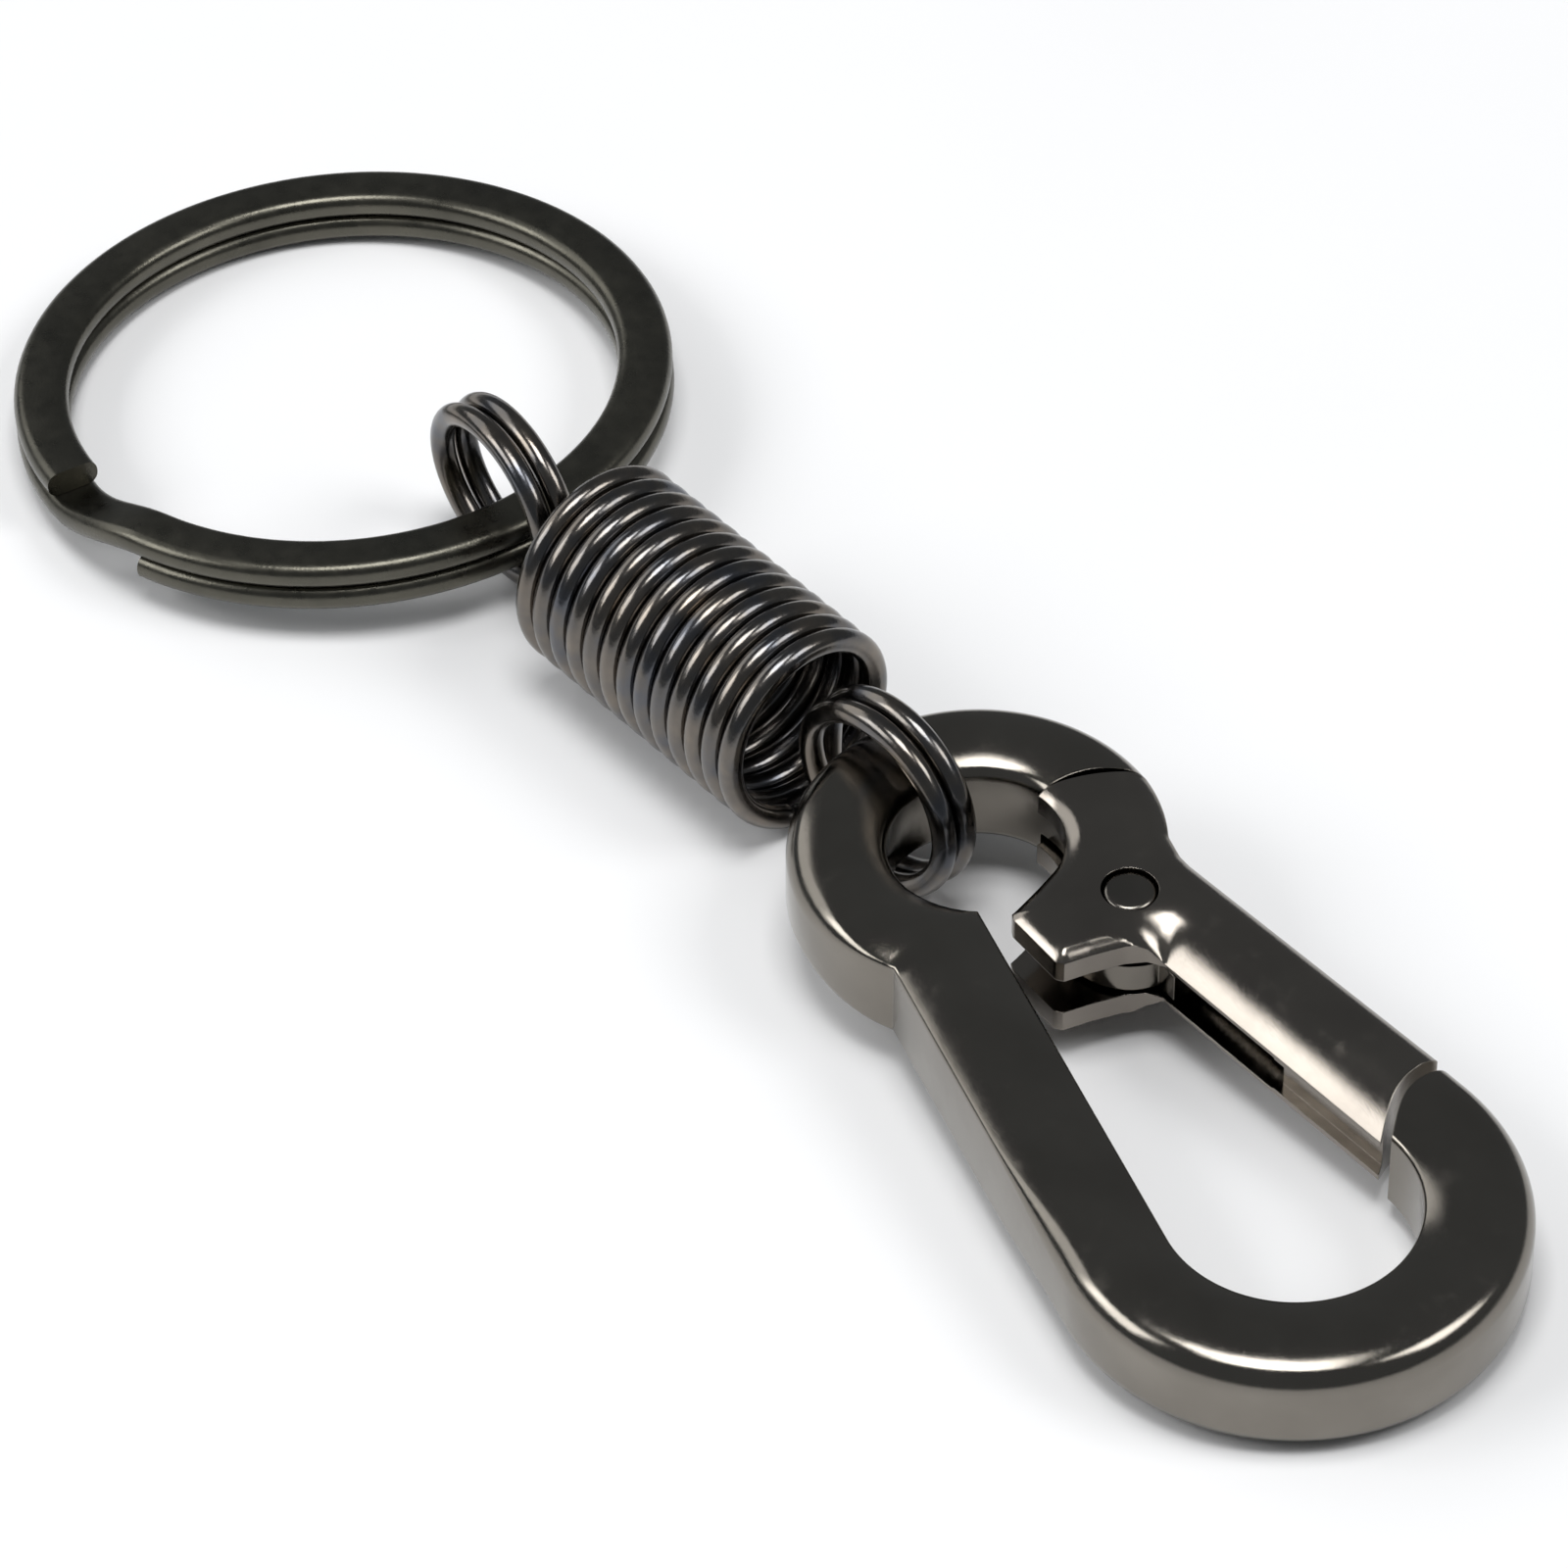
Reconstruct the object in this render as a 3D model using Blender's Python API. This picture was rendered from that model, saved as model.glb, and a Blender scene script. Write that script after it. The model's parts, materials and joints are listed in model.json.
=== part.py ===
"""Carabiner keyring: a snap hook, an extension spring with a double loop at each end, and a split ring.

Lengths are in millimetres and become metres through MM. The keyring lies on the ground plane as it would on
a table: the hook's bend, the spring and the far edge of the ring touch it, and the two loops, which pass
under the hook's head and under the ring, hold those two a little off it.
"""

import math

import bmesh
import bpy
from mathutils import Matrix, Vector

MM = 0.001

# Hook frame, in its own plan: the head's centre is the origin and +X points at the centre of the bend.
HEAD_RADIUS = 9.7
EYE_RADIUS = 4.7
BEND_RADIUS = 11.8
BEND_INNER_RADIUS = 6.4
HEAD_TO_BEND = 27.9
ARM_SPREAD = math.radians(9.2)  # how far each straight side leans out from the hook's axis
THICKNESS = 5.65
CROWN = 0.6  # how far the top and the bottom rise past the edges of the side walls
HOOK_TILT = math.radians(3.1)  # the head is held up by the spring's loop

# Gate, rivet and tongue
RIVET = Vector((7.0, 4.25))
RIVET_RADIUS = 1.35
RIVET_CLEARANCE = 0.1
SHOULDER_RADIUS = 8.1  # the gate's round head, about the rivet
SWING_GAP = 0.35
# The nose's face, outside to inside; it slants, so that the gate opens inwards only.
NOSE_FACE = (Vector((24.7, 13.0)), Vector((24.8, 8.6)), Vector((29.8, 3.7)))
GATE_OUTER_END = Vector((24.15, 11.0))
GATE_MIDDLE_END = Vector((24.3, 8.45))
GATE_INNER_END = 26.4
GATE_SHOULDER = Vector((6.9, 7.85))  # where the gate's straight outer side begins
GATE_STOP = Vector((9.0, 7.7))  # the tongue's corner that the closed gate rests against
GATE_HEAD_STEP = 0.4  # how much smaller the gate's round head is than the hook's
GATE_EDGE = 0.4
GATE_EYE_RADIUS = 4.2
CHEEK = 1.7
TONGUE_GAP = 0.3
TONGUE_DISC = 3.4
LUG_ANGLE = math.radians(4)  # the lug on the tongue that the return spring pushes on
LUG_HALF = 0.62
LUG_REACH = 4.6
WEB = 1.2
BLOCK_START = 18.9
BLOCK_RECESS = 0.6
HAIRPIN_WIRE = 0.55

# Spring
WIRE = 1.33
PITCH = 1.37
SPRING_RADIUS = 5.65
HALF_COIL = math.radians(160 + 6 * 360)  # half of the coil's winding; the loops' leads go on from its ends
JOIN_GAP = 0.3
FRONT_LOOP = {"centre": 14.5, "along": 5.0, "up": 4.8, "yaw": math.radians(6.0)}
REAR_LOOP = {"centre": 15.75, "along": 5.3, "up": 4.65, "yaw": math.radians(-4.0)}
LEAD_STEP = Vector((0.2, 0, 0))  # the lead starts this far off the coil's last turn, and leans away from it
LEAD_LEAN = Vector((0.3, 0, 0))
LOOP_START = math.radians(14)
LOOP_SWEEP = math.radians(670)

# Split ring
RING_RADIUS = 17.5
RING_BAND = 2.9
RING_WIRE = 1.4
RING_PITCH = 1.43
RING_TILT = math.radians(3.5)
RING_UPPER_END = math.radians(-91)  # the upper turn stops here and the wire beneath it starts to climb
RING_CLIMB = math.radians(24)

# Where the pieces lie in plan
HOOK_PLACE = Vector((51.9, 7.55))
HOOK_YAW = math.radians(0.5)
SPRING_PLACE = Vector((30.7, 3.95))
SPRING_YAW = math.radians(8.5)
GROUND_GAP = 0.05


def material(name, colour, roughness):
    """A plated metal."""
    made = bpy.data.materials.new(name)
    made.use_nodes = True
    shader = made.node_tree.nodes["Principled BSDF"]
    shader.inputs["Base Color"].default_value = (*colour, 1.0)
    shader.inputs["Roughness"].default_value = roughness
    shader.inputs["Metallic"].default_value = 1.0
    made.diffuse_color = (*colour, 1.0)
    return made


def add_object(name, mesh_data, parent, finish=None):
    thing = bpy.data.objects.new(name, mesh_data)
    bpy.context.collection.objects.link(thing)
    thing.parent = parent
    if finish:
        mesh_data.materials.append(finish)
    return thing


def add_empty(name, matrix, parent=None):
    """A pivot, placed by a matrix in its parent's space whose lengths are in millimetres."""
    pivot = bpy.data.objects.new(name, None)
    bpy.context.collection.objects.link(pivot)
    pivot.empty_display_size = 5 * MM
    pivot.parent = parent
    pivot.matrix_local = Matrix.Translation(matrix.translation * MM) @ matrix.to_3x3().to_4x4()
    return pivot


def mesh_from(name, points, faces, smooth_angle=math.radians(35)):
    """A closed mesh with outward faces, from points in millimetres."""
    bm = bmesh.new()
    corners = [bm.verts.new(Vector(point) * MM) for point in points]
    for face in faces:
        bm.faces.new([corners[i] for i in face])
    bmesh.ops.recalc_face_normals(bm, faces=bm.faces)
    bmesh.ops.triangulate(bm, faces=[face for face in bm.faces if len(face.verts) > 4])
    made = bpy.data.meshes.new(name)
    bm.to_mesh(made)
    bm.free()
    made.shade_smooth()
    made.set_sharp_from_angle(angle=smooth_angle)
    return made


def skin(rings):
    """Points and faces of a tube through rings of equal length, closed at both ends."""
    count = len(rings[0])
    points = [point for ring in rings for point in ring]
    faces = [tuple(range(count))[::-1]]
    for k in range(len(rings) - 1):
        for i in range(count):
            j = (i + 1) % count
            faces.append((k * count + i, k * count + j, (k + 1) * count + j, (k + 1) * count + i))
    faces.append(tuple(range((len(rings) - 1) * count, len(rings) * count)))
    return points, faces


def polar(centre, radius, angle):
    return centre + radius * Vector((math.cos(angle), math.sin(angle)))


def arc(centre, radius, start, end, steps):
    return [polar(centre, radius, start + (end - start) * k / steps) for k in range(steps + 1)]


def inset(outline, distance):
    """The outline moved inwards, for an outline that runs anticlockwise."""
    moved = []
    for k, here in enumerate(outline):
        into = (here - outline[k - 1]).normalized()
        out = (outline[(k + 1) % len(outline)] - here).normalized()
        left_in = Vector((-into.y, into.x))
        left_out = Vector((-out.y, out.x))
        middle = (left_in + left_out).normalized()
        moved.append(here + middle * distance / max(0.5, middle.dot(left_in)))
    return moved


def prism_rings(outline, levels):
    """The outline at several heights, each level a pair of height and inset."""
    return [[(p.x, p.y, height) for p in inset(outline, edge)] for height, edge in levels]


def circle_crossing(centre_a, radius_a, centre_b, radius_b):
    """Where two circles cross, on the right of the line from a to b."""
    apart = centre_b - centre_a
    along = (apart.length_squared + radius_a**2 - radius_b**2) / (2 * apart.length)
    across = math.sqrt(radius_a**2 - along**2)
    forward = apart.normalized()
    return centre_a + forward * along + across * Vector((forward.y, -forward.x))


def angle_of(point, centre=Vector((0, 0))):
    return math.atan2(point.y - centre.y, point.x - centre.x)


def side_line(offset, x):
    """How far the straight side at this offset from the bend's centre is from the hook's axis at x."""
    return (offset - HEAD_TO_BEND * math.sin(ARM_SPREAD)) / math.cos(ARM_SPREAD) + x * math.tan(ARM_SPREAD)


def place_cutter(name, rings, target, parent):
    """Cuts the target with a closed shape that stays in the file as a wire guide."""
    cutter = add_object(name, mesh_from(name, *skin(rings)), parent)
    cutter.hide_render = True
    cutter.display_type = "WIRE"
    cut = target.modifiers.new(name, "BOOLEAN")
    cut.operation = "DIFFERENCE"
    cut.solver = "EXACT"
    cut.object = cutter
    return cutter


def sector_outline(centre, radii, angles, steps=16):
    """Part of a flat ring between two radii and two angles, anticlockwise."""
    outside = arc(centre, radii[1], angles[0], angles[1], steps)
    return outside + arc(centre, radii[0], angles[1], angles[0], steps)


def bar_section(outer, inner, crown_steps=4):
    """A cross-section of the hook's bar between two plan points: flat sides, crowned faces."""
    top = []
    for k in range(crown_steps + 1):
        across = k / crown_steps
        rise = CROWN * (1 - (2 * across - 1) ** 2)
        point = outer.lerp(inner, across)
        top.append((point.x, point.y, THICKNESS - CROWN + rise))
    return top + [(x, y, THICKNESS - z) for x, y, z in reversed(top)]


def bar_stations():
    """Pairs of outer and inner plan points along the hook's bar, from under the gate's head to the nose."""
    bend = Vector((HEAD_TO_BEND, 0))
    head = Vector((0, 0))
    head_start = math.radians(70)
    head_end = math.radians(270) - ARM_SPREAD
    lean = HEAD_TO_BEND * math.sin(ARM_SPREAD)
    neck_outer = head_end + math.acos((BEND_RADIUS - lean) / HEAD_RADIUS)
    neck_inner = head_end + math.acos((BEND_INNER_RADIUS - lean) / EYE_RADIUS)
    stations = []
    head_steps = 30
    for k in range(head_steps + 1):
        angle = head_start + (head_end - head_start) * k / head_steps
        stations.append((polar(head, HEAD_RADIUS, angle), polar(head, EYE_RADIUS, angle)))
    neck_steps = 5
    for k in range(1, neck_steps + 1):
        outer = head_end + (neck_outer - head_end) * k / neck_steps
        inner = head_end + (neck_inner - head_end) * k / neck_steps
        stations.append((polar(head, HEAD_RADIUS, outer), polar(head, EYE_RADIUS, inner)))
    bend_start = math.radians(-90) - ARM_SPREAD
    arm_start = stations[-1]
    arm_end = (polar(bend, BEND_RADIUS, bend_start), polar(bend, BEND_INNER_RADIUS, bend_start))
    arm_steps = 4
    for k in range(1, arm_steps):
        stations.append(tuple(a.lerp(b, k / arm_steps) for a, b in zip(arm_start, arm_end)))
    bend_steps = 34
    for k in range(bend_steps + 1):
        angle = bend_start * (1 - 2 * k / bend_steps)
        stations.append((polar(bend, BEND_RADIUS, angle), polar(bend, BEND_INNER_RADIUS, angle)))
    tip = HEAD_TO_BEND - 7
    sides = (BEND_RADIUS, BEND_INNER_RADIUS)
    stations.append(tuple(Vector((tip, side_line(side, tip))) for side in sides))
    return stations


def tongue_outline():
    """The thin part of the frame between the gate's cheeks: the head's band, a disc, a stop and a lug."""
    head = Vector((0, 0))
    band_start, band_end, stop_side = math.radians(45), math.radians(118), math.radians(58)
    outline = arc(head, EYE_RADIUS, band_start, band_end, 10)
    outline += arc(head, HEAD_RADIUS - 0.15, band_end, stop_side, 10)
    outline.append(GATE_STOP)
    forward = Vector((math.cos(LUG_ANGLE), math.sin(LUG_ANGLE)))
    aside = Vector((-forward.y, forward.x))
    half_angle = math.asin(LUG_HALF / TONGUE_DISC)
    outline += arc(RIVET, TONGUE_DISC, angle_of(GATE_STOP, RIVET), LUG_ANGLE + half_angle, 5)
    outline += [RIVET + forward * LUG_REACH + aside * side * LUG_HALF for side in (1, -1)]
    outline += arc(RIVET, TONGUE_DISC, LUG_ANGLE - half_angle, math.radians(-125), 9)
    return outline[::-1]


def gate_outline():
    """Plan of the gate, anticlockwise: head, eye edge, thumb tab, inner side, free end, outer side."""
    head = Vector((0, 0))
    gate_head = HEAD_RADIUS - GATE_HEAD_STEP
    outer_corner = circle_crossing(RIVET, SHOULDER_RADIUS, head, gate_head)
    eye_corner = circle_crossing(RIVET, SHOULDER_RADIUS, head, GATE_EYE_RADIUS)
    inner_end = Vector((GATE_INNER_END, side_line(BEND_INNER_RADIUS, GATE_INNER_END)))
    inner_start = Vector((11.0, side_line(BEND_INNER_RADIUS, 11.0)))
    shoulder = angle_of(outer_corner, RIVET), angle_of(eye_corner, RIVET) % (2 * math.pi)
    outline = arc(RIVET, SHOULDER_RADIUS, shoulder[0], shoulder[1], 8)
    outline += arc(head, GATE_EYE_RADIUS, angle_of(eye_corner), math.radians(28), 9)[1:]
    tab_curve = [Vector((4.35, 0.55)), Vector((5.0, -1.05))]
    tab_tip = [Vector((5.12, -1.42)), Vector((5.45, -1.55))]
    tab_back = [Vector((8.95, -1.3)), Vector((9.3, -1.0)), Vector((9.5, 0.5)), Vector((9.85, 2.2))]
    outline += tab_curve + tab_tip + tab_back + [Vector((10.3, 3.2)), inner_start, inner_end]
    outline += [GATE_MIDDLE_END, GATE_OUTER_END, GATE_SHOULDER, Vector((6.1, 7.8))]
    outline += arc(head, gate_head, math.radians(60), angle_of(outer_corner), 6)[:-1]
    return outline


def outer_side(x):
    """The gate's outer side in plan."""
    slope = (GATE_OUTER_END.y - GATE_SHOULDER.y) / (GATE_OUTER_END.x - GATE_SHOULDER.x)
    return GATE_SHOULDER.y + (x - GATE_SHOULDER.x) * slope


def channel_outline():
    """What is cut out between the gate's cheeks, anticlockwise; it leaves the outer web and the end block."""
    stop_angle = angle_of(GATE_STOP, RIVET) - math.radians(5)
    web_start = polar(RIVET, 7.0, stop_angle)
    heel = polar(RIVET, TONGUE_DISC + SWING_GAP, stop_angle)
    web_x = 10.4
    return [
        Vector((-4, -4)),
        Vector((BLOCK_START - 1, -4)),
        Vector((BLOCK_START, side_line(BEND_INNER_RADIUS, BLOCK_START))),
        Vector((BLOCK_START, outer_side(BLOCK_START) - WEB)),
        Vector((web_x, outer_side(web_x) - WEB)),
        heel,
        web_start,
        Vector((-4, 14)),
    ]


def wire_tube(name, path, radius, sides):
    """A round wire along a path, its cross-section carried along without twist."""
    points = [Vector(point) for point in path]
    tangents = []
    for k in range(len(points)):
        ahead = points[min(k + 1, len(points) - 1)]
        behind = points[max(k - 1, 0)]
        tangents.append((ahead - behind).normalized())
    normal = tangents[0].orthogonal().normalized()
    rings = []
    for k, (point, tangent) in enumerate(zip(points, tangents)):
        if k:
            normal = (tangents[k - 1].rotation_difference(tangent) @ normal).normalized()
        binormal = tangent.cross(normal)
        ring = []
        for i in range(sides):
            turn = 2 * math.pi * i / sides
            ring.append(point + radius * (math.cos(turn) * normal + math.sin(turn) * binormal))
        rings.append(ring)
    return mesh_from(name, *skin(rings), smooth_angle=math.radians(60))


def coil_point(winding):
    """A point on the coil's centre line, a left-hand helix; winding is 0 at the middle, over the axis."""
    radius = SPRING_RADIUS - WIRE / 2
    return Vector((PITCH * winding / (2 * math.pi), -radius * math.sin(winding), radius * math.cos(winding)))


def bezier(start, first, second, end, t):
    s = 1 - t
    return start * s**3 + first * 3 * t * s**2 + second * 3 * t**2 * s + end * t**3


def loop_path(loop, steps_per_turn=26):
    """Centre line of a loop and its lead, in the spring's frame; the rear one is turned half round."""
    along = Vector((math.cos(loop["yaw"]), math.sin(loop["yaw"]), 0))
    across = Vector((-along.y, along.x, 0))
    up = Vector((0, 0, 1))
    centre = Vector((loop["centre"], 0, loop["up"] + WIRE / 2 + GROUND_GAP - SPRING_RADIUS))
    turn_pitch = WIRE + 0.06

    def on_loop(angle):
        side = turn_pitch * (1 - angle / (2 * math.pi))
        round_loop = loop["up"] * math.sin(angle) * up - loop["along"] * math.cos(angle) * along
        return centre + round_loop + side * across

    winding = HALF_COIL + JOIN_GAP / SPRING_RADIUS
    leaving = (coil_point(winding + 0.01) - coil_point(winding)).normalized() + LEAD_LEAN
    start = coil_point(winding) + LEAD_STEP
    end = on_loop(LOOP_START)
    arriving = (on_loop(LOOP_START + 0.01) - end).normalized()
    reach = (end - start).length
    first, second = start + leaving * reach * 0.4, end - arriving * reach * 0.5
    path = []
    lead_steps = 12
    for k in range(lead_steps):
        path.append(bezier(start, first, second, end, k / lead_steps))
    steps = round(steps_per_turn * LOOP_SWEEP / (2 * math.pi))
    return path + [on_loop(LOOP_START + LOOP_SWEEP * k / steps) for k in range(steps + 1)]


def ring_rings(steps=58):
    """Cross-sections of the split ring: the lower turn, the climb and the upper turn."""
    half, edge = RING_BAND / 2, 0.42
    middle = RING_RADIUS - half
    full = 4 * math.pi - RING_CLIMB
    start = RING_UPPER_END + RING_CLIMB
    climb_from = 2 * math.pi - RING_CLIMB
    flat = RING_WIRE / 2
    section = [
        (half - edge, -flat), (half, -flat + edge), (half, flat - edge), (half - edge, flat),
        (edge - half, flat), (-half, flat - edge), (-half, edge - flat), (edge - half, -flat),
    ]
    rings = []
    for k in range(2 * steps + 1):
        turn = full * k / (2 * steps)
        climbed = min(1, max(0, (turn - climb_from) / RING_CLIMB))
        height = flat + RING_PITCH * climbed * climbed * (3 - 2 * climbed)
        angle = start + turn
        outward = Vector((math.cos(angle), math.sin(angle), 0))
        rings.append([outward * (middle + x) + Vector((0, 0, height + z)) for x, z in section])
    return rings


def hairpin_path():
    """Centre line of the gate's return spring: one leg by the tongue's lug, one along the gate's web."""
    clear = HAIRPIN_WIRE / 2 + TONGUE_GAP
    far = BLOCK_START - 1.2
    height = THICKNESS / 2
    web_leg = [Vector((x, outer_side(x) - WEB - clear)) for x in (11.0, far)]
    lug_leg = [Vector((far - 0.2, web_leg[1].y - 1.5)), Vector((10.6, RIVET.y + LUG_HALF + 0.3 + clear))]
    turn = Vector((far + 1.1 - clear, web_leg[1].y - 0.7))
    bulge = turn * 2 - (web_leg[1] + lug_leg[0]) / 2
    path = [web_leg[0], web_leg[0].lerp(web_leg[1], 0.5)]
    steps = 8
    for k in range(steps + 1):
        t = k / steps
        path.append(web_leg[1] * (1 - t) ** 2 + bulge * 2 * t * (1 - t) + lug_leg[0] * t**2)
    path += [lug_leg[0].lerp(lug_leg[1], 0.5), lug_leg[1]]
    return [(p.x, p.y, height) for p in path]


def build_hook(finish, gate_finish, rivet_finish, spring_finish):
    rise = (HEAD_TO_BEND + (BEND_RADIUS + BEND_INNER_RADIUS) / 2) * math.sin(HOOK_TILT) + GROUND_GAP
    lie = Matrix.Translation((HOOK_PLACE.x, HOOK_PLACE.y, rise))
    lie = lie @ Matrix.Rotation(HOOK_YAW, 4, "Z") @ Matrix.Rotation(HOOK_TILT, 4, "Y")
    hook = add_empty("hook_pose", lie)

    sections = [bar_section(outer, inner) for outer, inner in bar_stations()]
    frame = add_object("hook_frame", mesh_from("hook_frame", *skin(sections)), hook, finish)
    through = [(-1.0, 0), (THICKNESS + 1.0, 0)]
    shoulder_angles = (math.radians(95), math.radians(196))
    shoulder = sector_outline(RIVET, (2.0, SHOULDER_RADIUS + SWING_GAP), shoulder_angles)
    place_cutter("shoulder_cut", prism_rings(shoulder, through), frame, hook)
    nose = [Vector((15.0, 3.7)), *NOSE_FACE[::-1], Vector((15.0, 13.0))]
    place_cutter("nose_cut", prism_rings(nose, through), frame, hook)

    low = CHEEK + TONGUE_GAP
    tongue_rings = prism_rings(tongue_outline(), [(low, 0), (THICKNESS - low, 0)])
    tongue = add_object("tongue_guide", mesh_from("tongue_guide", *skin(tongue_rings)), hook)
    tongue.hide_render = True
    tongue.display_type = "WIRE"
    join = frame.modifiers.new("tongue", "BOOLEAN")
    join.operation = "UNION"
    join.solver = "EXACT"
    join.object = tongue
    hole = arc(RIVET, RIVET_RADIUS + RIVET_CLEARANCE, 0, 2 * math.pi, 24)[:-1]
    place_cutter("tongue_hole_cut", prism_rings(hole, [(0.5, 0), (THICKNESS - 0.5, 0)]), frame, hook)

    pivot = add_empty("gate_pivot", Matrix.Translation((RIVET.x, RIVET.y, 0)), hook)
    to_pivot = Matrix.Translation((-RIVET.x * MM, -RIVET.y * MM, 0))
    edge = [(0.0, GATE_EDGE), (GATE_EDGE, 0.0), (THICKNESS - GATE_EDGE, 0.0), (THICKNESS, GATE_EDGE)]
    gate = add_object("gate", mesh_from("gate", *skin(prism_rings(gate_outline(), edge))), pivot, gate_finish)
    gate.data.transform(to_pivot)
    channel = prism_rings(channel_outline(), [(CHEEK, 0), (THICKNESS - CHEEK, 0)])
    place_cutter("channel_cut", channel, gate, pivot).data.transform(to_pivot)
    place_cutter("rivet_hole_cut", prism_rings(hole, through), gate, pivot).data.transform(to_pivot)
    recess = [Vector((BLOCK_START - 3, 2)), Vector((30, 2))]
    recess += [Vector((x, side_line(BEND_INNER_RADIUS, x) + BLOCK_RECESS)) for x in (30, BLOCK_START - 3)]
    recess_rings = prism_rings(recess, [(CHEEK + 0.1, 0), (THICKNESS - CHEEK - 0.1, 0)])
    place_cutter("block_recess_cut", recess_rings, gate, pivot).data.transform(to_pivot)

    body = arc(RIVET, RIVET_RADIUS, 0, 2 * math.pi, 24)[:-1]
    sunk, bevel, rim = 0.06, 0.14, 0.16
    ends = [(sunk, bevel), (rim, 0), (THICKNESS - rim, 0), (THICKNESS - sunk, bevel)]
    rivet = add_object("rivet", mesh_from("rivet", *skin(prism_rings(body, ends))), pivot, rivet_finish)
    rivet.data.transform(to_pivot)

    hairpin = wire_tube("gate_spring", hairpin_path(), HAIRPIN_WIRE / 2, 8)
    add_object("gate_spring", hairpin, pivot, spring_finish).data.transform(to_pivot)


def build_spring(finish):
    lie = Matrix.Translation((SPRING_PLACE.x, SPRING_PLACE.y, SPRING_RADIUS + GROUND_GAP))
    lie = lie @ Matrix.Rotation(SPRING_YAW, 4, "Z")
    spring = add_empty("spring_pose", lie)
    sides = 8
    turn_steps = 18
    steps = round(turn_steps * HALF_COIL / math.pi)
    path = [coil_point(HALF_COIL * (2 * k / steps - 1)) for k in range(steps + 1)]
    add_object("spring_coil", wire_tube("spring_coil", path, WIRE / 2, sides), spring, finish)

    for name, loop, turned in (("front_loop", FRONT_LOOP, 0), ("rear_loop", REAR_LOOP, math.pi)):
        centre = Vector((loop["centre"], 0, loop["up"] + WIRE / 2 + GROUND_GAP - SPRING_RADIUS))
        place = Matrix.Rotation(turned, 4, "Z") @ Matrix.Translation(centre)
        pivot = add_empty(name + "_pivot", place, spring)
        wire = add_object(name, wire_tube(name, loop_path(loop), WIRE / 2, sides), pivot, finish)
        wire.data.transform(Matrix.Translation(-centre * MM))


def build_ring(finish):
    rise = RING_RADIUS * math.sin(RING_TILT) + GROUND_GAP
    lie = Matrix.Translation((0, 0, rise)) @ Matrix.Rotation(-RING_TILT, 4, "Y")
    ring = add_empty("ring_pose", lie)
    add_object("split_ring", mesh_from("split_ring", *skin(ring_rings())), ring, finish)


def centre_on_origin():
    """Moves the whole keyring so that the middle of its footprint is at the origin."""
    bpy.context.view_layer.update()
    shown = [thing for thing in bpy.context.scene.objects if thing.type == "MESH" and not thing.hide_render]
    graph = bpy.context.evaluated_depsgraph_get()
    corners = []
    for thing in shown:
        ready = thing.evaluated_get(graph)
        corners += [ready.matrix_world @ vertex.co for vertex in ready.data.vertices]
    low = Vector([min(corner[k] for corner in corners) for k in range(3)])
    high = Vector([max(corner[k] for corner in corners) for k in range(3)])
    middle = (low + high) / 2
    for thing in bpy.context.scene.objects:
        if thing.parent is None:
            thing.location -= Vector((middle.x, middle.y, low.z))
    bpy.context.view_layer.update()


def main():
    for thing in list(bpy.data.objects):
        bpy.data.objects.remove(thing, do_unlink=True)
    hook_metal = material("hook_metal", (0.060, 0.056, 0.050), 0.16)
    gate_metal = material("gate_metal", (0.058, 0.054, 0.049), 0.18)
    rivet_metal = material("rivet_metal", (0.050, 0.047, 0.043), 0.25)
    hairpin_metal = material("hairpin_metal", (0.30, 0.29, 0.28), 0.30)
    wire_metal = material("wire_metal", (0.055, 0.052, 0.052), 0.22)
    ring_metal = material("ring_metal", (0.050, 0.050, 0.042), 0.38)
    build_hook(hook_metal, gate_metal, rivet_metal, hairpin_metal)
    build_spring(wire_metal)
    build_ring(ring_metal)
    centre_on_origin()


main()
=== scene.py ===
import json
import math

import bmesh
import bpy
import numpy as np
from mathutils import Matrix, Vector
from mathutils.geometry import delaunay_2d_cdt


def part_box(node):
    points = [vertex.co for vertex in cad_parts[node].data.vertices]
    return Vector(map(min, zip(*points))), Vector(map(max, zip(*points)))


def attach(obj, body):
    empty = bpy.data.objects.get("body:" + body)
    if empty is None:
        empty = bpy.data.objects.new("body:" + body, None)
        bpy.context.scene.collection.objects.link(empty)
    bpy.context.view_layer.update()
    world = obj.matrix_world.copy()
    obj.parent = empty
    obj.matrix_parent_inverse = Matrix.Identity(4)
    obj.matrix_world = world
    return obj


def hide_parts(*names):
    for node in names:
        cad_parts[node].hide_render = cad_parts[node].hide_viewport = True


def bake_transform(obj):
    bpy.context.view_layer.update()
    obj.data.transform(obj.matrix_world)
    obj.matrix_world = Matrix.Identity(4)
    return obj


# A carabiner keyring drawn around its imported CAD: a finer mesh for every node, procedural metals, and a white
# studio with its camera. Sizes and places are in millimetres, apart from the camera's and the studio's.

MM = 0.001
SHARP_ANGLE = math.radians(38)  # edges that turn more than this look sharp
WIRE_SHARP_ANGLE = math.radians(70)
OVERCUT = 1  # how far a cutting tool reaches past a face

# Hook frame, in its own plan: the head's centre is the origin and +X points at the bend's centre.
HEAD_RADIUS = 9.7
EYE_RADIUS = 4.7
BEND_RADIUS = 11.8
BEND_INNER_RADIUS = 6.4
HEAD_TO_BEND = 27.9
ARM_SPREAD = math.radians(9.2)
THICKNESS = 5.65
CROWN = 0.6
NOSE_LENGTH = 7  # how far the nose's side runs on, straight, from the bend's centre before it is cut
NOSE_CUT_START = 15.0
ROUND_EDGE = 0.95  # outer edge's radius on the head and the bend
CRISP_EDGE = 0.16  # outer edge's radius on the straight arm
EYE_EDGE = 0.5  # inner edge's radius round the eye
INNER_EDGE = 0.2  # inner edge's radius elsewhere
ROUNDING_START = 0.55  # how far along the arm its outer edge starts to grow round again
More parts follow.
